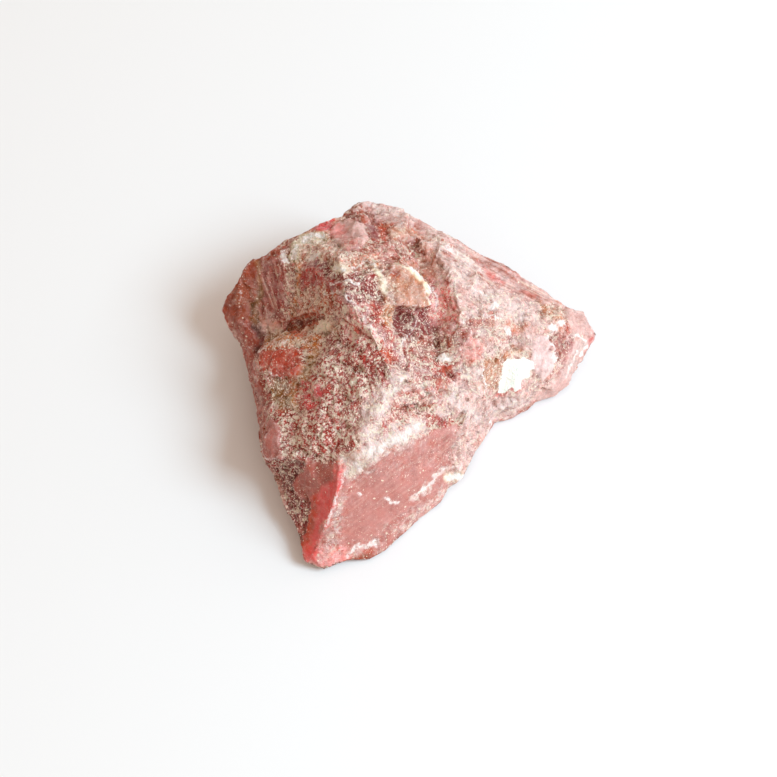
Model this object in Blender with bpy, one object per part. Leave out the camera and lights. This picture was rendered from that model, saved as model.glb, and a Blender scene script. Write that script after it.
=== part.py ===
"""Rough rhodonite: one broken, unpolished lump of stone, lying on its flattest face."""
import math

import bmesh
import bpy
from mathutils import Vector, noise
from mathutils.geometry import delaunay_2d_cdt, intersect_point_line

MM = 0.001

# The landmarks below are millimetres: x to the right, y away from the front, z up from the ground.
# They are read in a view from the front that looks down at this angle
VIEW_TILT = math.radians(60)

# The outline in that view, clockwise from the left tip: the visible and the hidden skin meet there
RIM = [
    (-30.5, 15.5, 9), (-29.5, 17, 11), (-27.5, 19.5, 13), (-25.5, 21.5, 15), (-23.5, 21.5, 16),
    (-20, 24, 17), (-17.5, 24.5, 17.5), (-14.5, 26.5, 18), (-10.5, 28, 18), (-8.5, 31, 17),
    (-6.5, 32.5, 16), (-3.5, 32, 16), (-0.5, 31, 15.5), (4, 28.5, 15), (8, 26.5, 14), (13, 24, 13),
    (16.5, 22.5, 12), (20, 20, 11), (24.5, 17.5, 9.5), (26.5, 16.5, 8.5), (29.5, 16.5, 7.5),
    (30.5, 14, 7), (31.5, 13, 5.5), (30.5, 11.5, 4), (29.5, 10, 2.5), (28, 8, 1.5), (27, 6, 1),
    (24.5, 4, 0.5), (21.5, 3, 0.5), (20, 1.5, 0.5), (17.5, 0, 0.5), (14.5, -1, 0.5), (13, -3.5, 0.5),
    (11.5, -6.5, 1), (10, -9.5, 1), (9, -11.5, 1), (7, -13, 1), (5.5, -15.5, 0.5), (2, -18.5, 0.5),
    (-1, -21.5, 0.5), (-3.5, -24, 0.5), (-6, -25.5, 0.5), (-9.5, -26, 1), (-13, -27.5, 1),
    (-15.5, -27, 1.5), (-16.5, -26, 2.5), (-17, -23, 3), (-18, -20.5, 3.5), (-19.5, -17.5, 4),
    (-20.5, -14.5, 4.5), (-22.5, -11, 5), (-23.5, -8, 5.5), (-24, -3.5, 6), (-24.5, 0, 6),
    (-25.5, 3.5, 6), (-26.5, 7.5, 6), (-27.5, 10.5, 6), (-29, 12.5, 7),
]

# Ridges, ledges and hollows of the visible skin: each line is an edge in the stone
VISIBLE_LINES = {
    "main ridge": [
        (-15.5, -27, 1.5), (-14.5, -26, 3.5), (-13.5, -24, 6.5), (-12, -22, 9.5), (-11, -19.5, 12.5),
        (-10.5, -16.5, 15), (-9, -15, 17), (-7, -13, 19), (-3.5, -9, 21.5), (-2, -5, 23.5),
        (-4.5, -1, 25.5), (-7.5, 3, 26.5), (-9, 6, 27), (-10, 11, 26), (-11, 16, 24.5),
        (-10, 21.5, 22), (-9, 26, 19.5), (-8.5, 31, 17),
    ],
    "frosted ledge over the nose": [
        (-10.5, -16.5, 15), (-6.5, -16, 16.5), (-3, -14.5, 16.5), (0.5, -12, 16), (3.5, -9, 14),
        (7, -6, 13), (10, -3.5, 11.5), (12.5, -2, 10.5), (13.5, -2, 6), (14.5, -1, 0.5),
    ],
    "back of that ledge": [
        (-9, -15, 17), (-6.5, -13.5, 17.5), (-3, -12, 17.5), (0, -9.5, 17), (3.5, -6.5, 15.5),
        (7.5, -4, 14), (10, -3.5, 11.5),
    ],
    "rim of the small hollow": [(-2, -5, 23.5), (1, -5.5, 21), (3.5, -5.5, 18.5), (5, -5.5, 15)],
    "toe of the nose": [
        (-14.5, -26, 3.5), (-8.5, -24.5, 3), (-4.5, -22.5, 3), (-0.5, -19.5, 3.5), (3.5, -16.5, 4),
        (6, -13.5, 4.5), (9, -11.5, 1),
    ],
    "right cheek of the nose": [(7, -6, 13), (8, -9, 9.5), (7.5, -11.5, 5.5), (6, -13.5, 4.5)],
    "front edge of the right lobe": [
        (13.5, -2, 6), (15, -1, 4.5), (17, 0, 5), (20, 2, 5.5), (24, 3.5, 4), (27, 7.5, 4),
        (28, 10, 6), (28.5, 12.5, 8), (29.5, 16.5, 7.5),
    ],
    "second ridge": [
        (5, 23.5, 17.5), (6.5, 18.5, 19), (7.5, 13, 20), (8, 8.5, 20), (8.5, 4.5, 19), (7.5, 1, 17),
        (8, -2, 15), (10, -3.5, 11.5),
    ],
    "valley between the ridges": [
        (0, 23, 18.5), (2, 18.5, 17.5), (4, 14.5, 17), (5, 11, 17), (4.5, 7, 17),
    ],
    "valley in front of the flake": [
        (4.5, 7, 17), (0, 4, 19), (-0.5, 0, 20), (2.5, -1, 18), (4.5, 1.5, 16.5),
    ],
    "raised flake": [
        (-4, 13, 25), (-1, 15.5, 23), (1, 14, 22), (3, 11, 21), (2.5, 9.5, 21), (-0.5, 8, 22.5),
        (-3, 7.5, 24), (-4, 13, 25),
    ],
    "foot of the flake": [(1.5, 15.5, 19.5), (4, 12, 18.5), (3, 8.5, 18.5), (-0.5, 7, 20), (-3.5, 6, 22.5)],
    "banded back slope": [
        (5, 23.5, 17.5), (10.5, 19.5, 15.5), (15, 17, 14), (20, 16, 12), (24, 15.5, 10.5),
        (28.5, 12.5, 8),
    ],
    "blade on the right lobe": [(13, 8.5, 17), (12.5, 3, 15.5), (13, 0, 13), (12.5, -2.5, 11.5)],
    "top of the right lobe": [(13, 8.5, 17), (18, 9, 12.5), (22, 8.5, 10), (25, 11, 9), (28.5, 12.5, 8)],
    "patch facet of the right lobe": [(15.5, 4.5, 11), (20, 4, 8.5), (23.5, 6, 7), (27, 7.5, 4)],
    "left groove": [
        (-25.5, 21.5, 15), (-25, 15.5, 12), (-24.5, 11, 9.5), (-24.5, 7.5, 8.5), (-25.5, 3.5, 6),
    ],
    "left flank": [(-27.5, 19.5, 13), (-27, 16, 12.5), (-27.5, 13, 10), (-26.5, 9.5, 8)],
    "edge of the mauve face": [
        (-23.5, 21.5, 16), (-19, 18.5, 18.5), (-18, 14.5, 16.5), (-18.5, 11.5, 13.5), (-17.5, 10.5, 12),
    ],
    "foot of the mauve face": [(-21.5, 16, 14), (-21, 12, 11.5), (-20, 10, 11)],
    "floor of the recess": [(-17.5, 10.5, 12), (-20, 10, 11), (-22.5, 9.5, 10.5), (-24.5, 7.5, 8.5)],
    "wall of the recess": [
        (-14, 9.5, 18), (-12, 10, 22), (-14, 14, 22), (-16.5, 18.5, 20.5), (-13, 21, 21.5),
    ],
    "orange block": [
        (-7.5, 3, 26.5), (-10, 5, 23), (-13.5, 6.5, 18), (-17, 6.2, 16), (-20, 6, 14.9),
        (-23.5, 5.4, 13.5), (-23.5, 2.6, 13.5), (-22.5, 0.3, 13), (-19.5, -0.4, 14), (-17.5, -0.1, 15.5),
    ],
    "olive groove": [(-15, 0.9, 17), (-17, -2, 14.7), (-19.5, -6.2, 13.5)],
    "top of the left wall": [
        (-22.5, 0.3, 13), (-21.5, -2.3, 12.8), (-22, -5.1, 12.2), (-23, -7.6, 11.3), (-23, -10.4, 10.5),
        (-22, -12.8, 10.3), (-22.5, -11, 5),
    ],
    "ledge under the left face": [
        (-22, -12.8, 10.3), (-19.5, -13.4, 11.5), (-16, -14.6, 13), (-13.5, -15.2, 13.9), (-10.5, -16.5, 15),
    ],
    "foot of the left face": [(-20, -13.5, 8), (-16.5, -15, 10), (-12.5, -16.5, 11.5)],
    "edge of the red band": [
        (-11, -19.5, 12.5), (-12.5, -16.5, 11.5), (-14, -19, 8.5), (-15.5, -22, 5.5), (-16, -25, 3.5),
        (-16.5, -26, 2.5),
    ],
}

# Single landmarks inside the faces of the visible skin
VISIBLE_SPOTS = [
    (-7, 21, 22.5), (-4.5, 25, 18.5), (-2.5, 20, 21), (-6.5, 11.5, 25.5), (-19.5, -8.2, 13),
    (-12, -2.3, 20.5), (-9, -5.5, 20.5), (-5, -4, 22.5), (-13.5, -7.9, 17.5), (-9.5, -10, 18),
    (-20.5, 2.6, 15.4), (-18, -16, 7), (-17, -18.5, 7), (-0.5, -8, 18.5), (15, 1, 9), (-6.5, -19.5, 9),
    (-1, -17, 9), (3, -13, 8.5), (-8, 24.5, 21),
]

# The flat facet that the stone rests on
BASE = [
    (-18, 11, 0), (-16.5, 17.5, 0), (-9, 22.5, 0), (-1, 24, 0), (7, 20, 0), (15.5, 15.5, 0),
    (19, 9.5, 0), (12.5, 3.5, 0), (7.5, -3.5, 0), (3.5, -11, 0), (-3, -17.5, 0), (-9.5, -20, 0),
    (-12.5, -14.5, 0), (-15.5, -6, 0), (-15, 0.5, 0), (-19, 5, 0),
]

# Edges of the large fracture faces behind and below
HIDDEN_LINES = {
    "resting facet": BASE + BASE[:1],
    "left corner of the back": [(-25.5, 21.5, 15), (-25, 20.5, 7), (-20.5, 17.5, 1.5), (-16.5, 17.5, 0)],
    "middle corner of the back": [(-14.5, 26.5, 18), (-11.5, 29.5, 9), (-8, 27.5, 1.5), (-9, 22.5, 0)],
    "right corner of the back": [(-0.5, 31, 15.5), (1.5, 31, 7), (0.5, 27, 1), (-1, 24, 0)],
    "ledge on the right of the back": [(1.5, 31, 7), (8, 26, 8), (16, 22, 6.5), (23, 18, 5), (28, 14.5, 3.5)],
    "lower edge of the back": [
        (-20.5, 17.5, 1.5), (-15, 21.5, 1.5), (-8, 27.5, 1.5), (0.5, 27, 1), (8, 23.5, 1),
        (17, 19.5, 1.5), (23, 15, 1.5), (28, 14.5, 3.5),
    ],
    "underside of the left lobe": [(-29, 12.5, 7), (-25, 14, 4), (-22, 10.5, 1.5), (-18, 11, 0)],
    "underside of the right lobe": [(28, 8, 1.5), (23, 7.5, 0.5), (19, 9.5, 0)],
}
HIDDEN_SPOTS = [
    (-18, 23.5, 9), (-5, 31.5, 8), (-24, 5, 2.5), (-21.5, -3.5, 2.5), (-20.5, -9, 2),
    (-17.5, -17, 1.5), (-14.5, -23, 1),
]

# How finely the faces between the landmarks are divided, and from what angle an edge stays as it is
LONGEST_EDGE = 2.05
REFINE_ROUNDS = 8
CREASE_ANGLE = math.radians(14)

# The broken surface on those faces: how far its edges wander, and the size and height of its forms
WANDER_SIZE = 5.0
WANDER = 0.5
LUMP_SIZE = 8.0
LUMP_HEIGHT = 0.7
CHIPS = [(6.5, 2.1), (3.2, 1.0)]
CHIP_SCATTER = 7.3
LEDGE_SIZE = 6.0
LEDGE_HEIGHT = 0.9
LEDGES = 3

# The outline stays calmer than the faces: how far from it, and how much of the relief is left there
RIM_REACH = 3.0
RIM_SHARE = 0.35

# Where the stone broke smoothly, as centre and reach, and how much of the relief is left there
SMOOTH_BREAKS = [((-3, -19, 9), 12.5), ((27, 9, 5), 5.5)]
SMOOTH_SHARE = 0.12
SMOOTH_FALLOFF = 4
SMOOTH_ROUNDS = 12
SHELL_SHARE = 0.1

# The flake, the block, the striated face, the blade and the facet by the recess broke flat: their
# middle and reach, and how much of the relief is left on them
FLAT_FACES = [
    ((0, 11.5, 22), 4.5), ((-20.5, 3, 14.5), 4.5), ((-20.5, 15.5, 15), 4.5), ((13, 3, 15.5), 3.5),
    ((-16, 9, 15), 4.5),
]
FLAT_SHARE = 0.15
SHARP_ANGLE = math.radians(40)
CALM_HEIGHT = 2.5

STONE_COLOUR = (0.42, 0.14, 0.12, 1)
STONE_ROUGHNESS = 0.6


def clear_scene():
    """Removes what the scene starts with."""
    for thing in list(bpy.data.objects):
        bpy.data.objects.remove(thing)


def in_view(point):
    """Where a landmark shows in the tilted view."""
    return Vector((point[0], point[1] * math.sin(VIEW_TILT) + point[2] * math.cos(VIEW_TILT)))


def add_skin(bm, corners, lines, spots, outward):
    """Fills the rim on one side with faces between its landmarks."""
    chains = [RIM + RIM[:1], *lines.values()]
    points = list(dict.fromkeys([point for chain in chains for point in chain] + spots))
    edges = {tuple(sorted((points.index(a), points.index(b)))) for c in chains for a, b in zip(c, c[1:])}
    flat = [in_view(point) for point in points]
    placed, _, faces, source, _, _ = delaunay_2d_cdt(flat, sorted(edges), [], 1, 1e-5)
    assert len(placed) == len(points), "two lines of the stone cross"
    for face in faces:
        loop = [points[source[index][0]] for index in face]
        for point in loop:
            if point not in corners:
                corners[point] = bm.verts.new(point)
        bm.faces.new([corners[point] for point in (loop if outward else reversed(loop))])


def refine(bm):
    """Divides the faces evenly and leaves the ridges where they are."""
    for _ in range(REFINE_ROUNDS):
        long_edges = [edge for edge in bm.edges if edge.calc_length() > LONGEST_EDGE]
        if not long_edges:
            break
        bmesh.ops.subdivide_edges(bm, edges=long_edges, cuts=1)
        bmesh.ops.triangulate(bm, faces=[face for face in bm.faces if len(face.verts) > 3])
        bm.normal_update()
        soft = [edge for edge in bm.edges if edge.calc_face_angle() < CREASE_ANGLE]
        bmesh.ops.beautify_fill(bm, faces=bm.faces, edges=soft, method="ANGLE")


def smoothness(point):
    """1 in the middle of a smooth break and 0 beyond its reach."""
    shares = []
    for centre, reach in SMOOTH_BREAKS:
        away = min(1.0, (point - Vector(centre)).length / reach)
        shares.append(1 - away ** SMOOTH_FALLOFF)
    return max(shares)


def hollow_out(bm):
    """Rounds the faces of the smooth breaks into shallow shells and keeps their sharp edges."""
    bm.normal_update()
    shell = []
    for vert in bm.verts:
        sharpest = max(edge.calc_face_angle() for edge in vert.link_edges)
        if smoothness(vert.co) > SHELL_SHARE and sharpest < SHARP_ANGLE:
            shell.append(vert)
    for _ in range(SMOOTH_ROUNDS):
        bmesh.ops.smooth_vert(bm, verts=shell, factor=0.5, use_axis_x=True, use_axis_y=True, use_axis_z=True)


def chips(point, size):
    """Flat chips, each tilted its own way."""
    place = point / size
    seed = noise.voronoi(place)[1][0]
    tilt = noise.cell_vector(seed * CHIP_SCATTER) - Vector((0.5, 0.5, 0.5))
    return (place - seed).dot(tilt)


def relief(point):
    """Height of the broken surface over the plain faces."""
    height = LUMP_HEIGHT * noise.noise(point / LUMP_SIZE)
    height += LEDGE_HEIGHT * round(LEDGES * noise.noise(point / LEDGE_SIZE)) / LEDGES
    for size, rise in CHIPS:
        height += rise * chips(point, size)
    return height


def rim_distance(point):
    """How far a point is from the outline."""
    nearest = math.inf
    for start, end in zip(RIM, RIM[1:] + RIM[:1]):
        share = intersect_point_line(point, start, end)[1]
        spot = Vector(start).lerp(Vector(end), min(1.0, max(0.0, share)))
        nearest = min(nearest, (point - spot).length)
    return nearest


def relief_share(point):
    """How much of the relief shows at a point: less on smooth and flat faces, none on the resting facet."""
    share = RIM_SHARE + (1 - RIM_SHARE) * min(1.0, rim_distance(point) / RIM_REACH)
    for centre, reach in FLAT_FACES:
        share *= FLAT_SHARE + (1 - FLAT_SHARE) * min(1.0, (point - Vector(centre)).length / reach) ** 2
    return share * (1 - (1 - SMOOTH_SHARE) * smoothness(point)) * min(1.0, point.z / CALM_HEIGHT)


def break_surface(bm):
    """Moves every corner by the relief, along its normal and a little sideways."""
    bm.normal_update()
    moved = []
    for vert in bm.verts:
        point = vert.co.copy()
        wander = noise.noise_vector(point / WANDER_SIZE) * WANDER
        moved.append(point + (vert.normal * relief(point) + wander) * relief_share(point))
    for vert, place in zip(bm.verts, moved):
        vert.co = place


def centre_on_ground(bm):
    """Puts the middle of the outer box over the origin, with the resting facet on the ground."""
    xs = [vert.co.x for vert in bm.verts]
    ys = [vert.co.y for vert in bm.verts]
    middle = Vector(((min(xs) + max(xs)) / 2, (min(ys) + max(ys)) / 2, 0))
    bmesh.ops.translate(bm, verts=bm.verts, vec=-middle)


def stone_material():
    """The mean colour of the stone."""
    material = bpy.data.materials.new("rhodonite")
    material.use_nodes = True
    shader = material.node_tree.nodes["Principled BSDF"]
    shader.inputs["Base Color"].default_value = STONE_COLOUR
    shader.inputs["Roughness"].default_value = STONE_ROUGHNESS
    shader.inputs["Metallic"].default_value = 0
    return material


def build_stone():
    """The one solid: two skins joined at the rim, divided and broken."""
    bm = bmesh.new()
    corners = {}
    add_skin(bm, corners, VISIBLE_LINES, VISIBLE_SPOTS, True)
    add_skin(bm, corners, HIDDEN_LINES, HIDDEN_SPOTS, False)
    refine(bm)
    hollow_out(bm)
    break_surface(bm)
    centre_on_ground(bm)
    bmesh.ops.scale(bm, vec=(MM, MM, MM), verts=bm.verts)
    mesh = bpy.data.meshes.new("rhodonite_stone")
    bm.to_mesh(mesh)
    bm.free()
    stone = bpy.data.objects.new("rhodonite_stone", mesh)
    stone.data.materials.append(stone_material())
    bpy.context.scene.collection.objects.link(stone)
    return stone


clear_scene()
build_stone()
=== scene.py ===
"""The looks of the rough rhodonite: its broken surface in full, its minerals, the light and the camera."""
import math
from types import SimpleNamespace

import bmesh
import bpy
import numpy as np
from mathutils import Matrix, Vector, noise


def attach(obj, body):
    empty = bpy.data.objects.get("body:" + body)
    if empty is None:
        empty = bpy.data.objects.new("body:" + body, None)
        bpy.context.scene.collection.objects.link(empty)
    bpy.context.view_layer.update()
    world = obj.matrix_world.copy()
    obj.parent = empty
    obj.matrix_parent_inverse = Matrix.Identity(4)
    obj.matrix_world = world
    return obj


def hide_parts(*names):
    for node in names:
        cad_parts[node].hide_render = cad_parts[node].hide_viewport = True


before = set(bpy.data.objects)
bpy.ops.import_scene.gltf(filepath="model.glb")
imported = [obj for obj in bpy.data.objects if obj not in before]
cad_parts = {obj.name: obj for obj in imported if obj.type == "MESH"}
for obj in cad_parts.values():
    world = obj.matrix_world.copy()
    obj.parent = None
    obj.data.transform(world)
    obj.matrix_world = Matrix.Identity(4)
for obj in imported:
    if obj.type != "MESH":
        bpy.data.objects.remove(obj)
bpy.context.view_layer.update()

MM = 0.001
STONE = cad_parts["rhodonite_stone"]

# The camera, as the photograph was taken: from the front, high above the stone. Millimetres
CAMERA_TARGET = Vector((-3.5, -2.5, 10))
CAMERA_TILT = math.radians(60)
CAMERA_DISTANCE = 293.5
CAMERA_LENS = 85.0
CAMERA_SENSOR = 36.0
PHOTO_SIDE = 777
VIEW_BACK = Vector((0, -math.cos(CAMERA_TILT), math.sin(CAMERA_TILT)))
CAMERA_PLACE = CAMERA_TARGET + VIEW_BACK * CAMERA_DISTANCE

# The light. Metres and watts. The room is brightest on the right, where its windows are
WINDOW_PLACE = (0.45, -0.12, 0.48)
WINDOW_SIZE = 0.34
WINDOW_POWER = 4.8
WINDOW_COLOUR = (0.62, 0.84, 1.0)
ROOM_LEFT = (0.41, 0.33, 0.26)
ROOM_RIGHT = (1.01, 0.92, 0.87)


def srgb(red, green, blue):
    """A colour read as 0 to 255, as a linear colour."""
    parts = [value / 255 for value in (red, green, blue)]
    return tuple(p / 12.92 if p < 0.04045 else ((p + 0.055) / 1.055) ** 2.4 for p in parts)


# The minerals
ROSE = srgb(170, 112, 102)
PINK = srgb(190, 132, 124)
PALE_PINK = srgb(212, 172, 164)
ROSY = srgb(212, 154, 146)
LILAC = srgb(216, 180, 172)
PEARL = srgb(226, 194, 188)
SALMON = srgb(206, 154, 140)
WINE = srgb(173, 92, 87)
DEEP_WINE = srgb(132, 54, 52)
DARK = srgb(110, 52, 44)
RECESS = srgb(234, 146, 128)
OCHRE = srgb(152, 78, 56)
MOSS = srgb(150, 104, 70)
MAUVE = srgb(174, 114, 106)
MAUVE_BROWN = srgb(170, 102, 92)
RED = srgb(220, 114, 110)
CRIMSON = srgb(210, 110, 110)
ORANGE_RED = srgb(188, 90, 73)
BRICK = srgb(156, 78, 60)
ORANGE = srgb(200, 138, 106)
BROWN = srgb(188, 124, 110)
OLIVE = srgb(188, 144, 112)
TAN = srgb(190, 140, 121)
BLUSH = srgb(226, 156, 150)
EMBER = srgb(184, 84, 70)
CREAM = srgb(244, 226, 200)
GREEN_CREAM = srgb(212, 202, 172)
WHITE = srgb(248, 246, 232)
FLECK = srgb(246, 206, 190)
FROST = srgb(250, 234, 226)
DUST = srgb(216, 180, 168)

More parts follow.
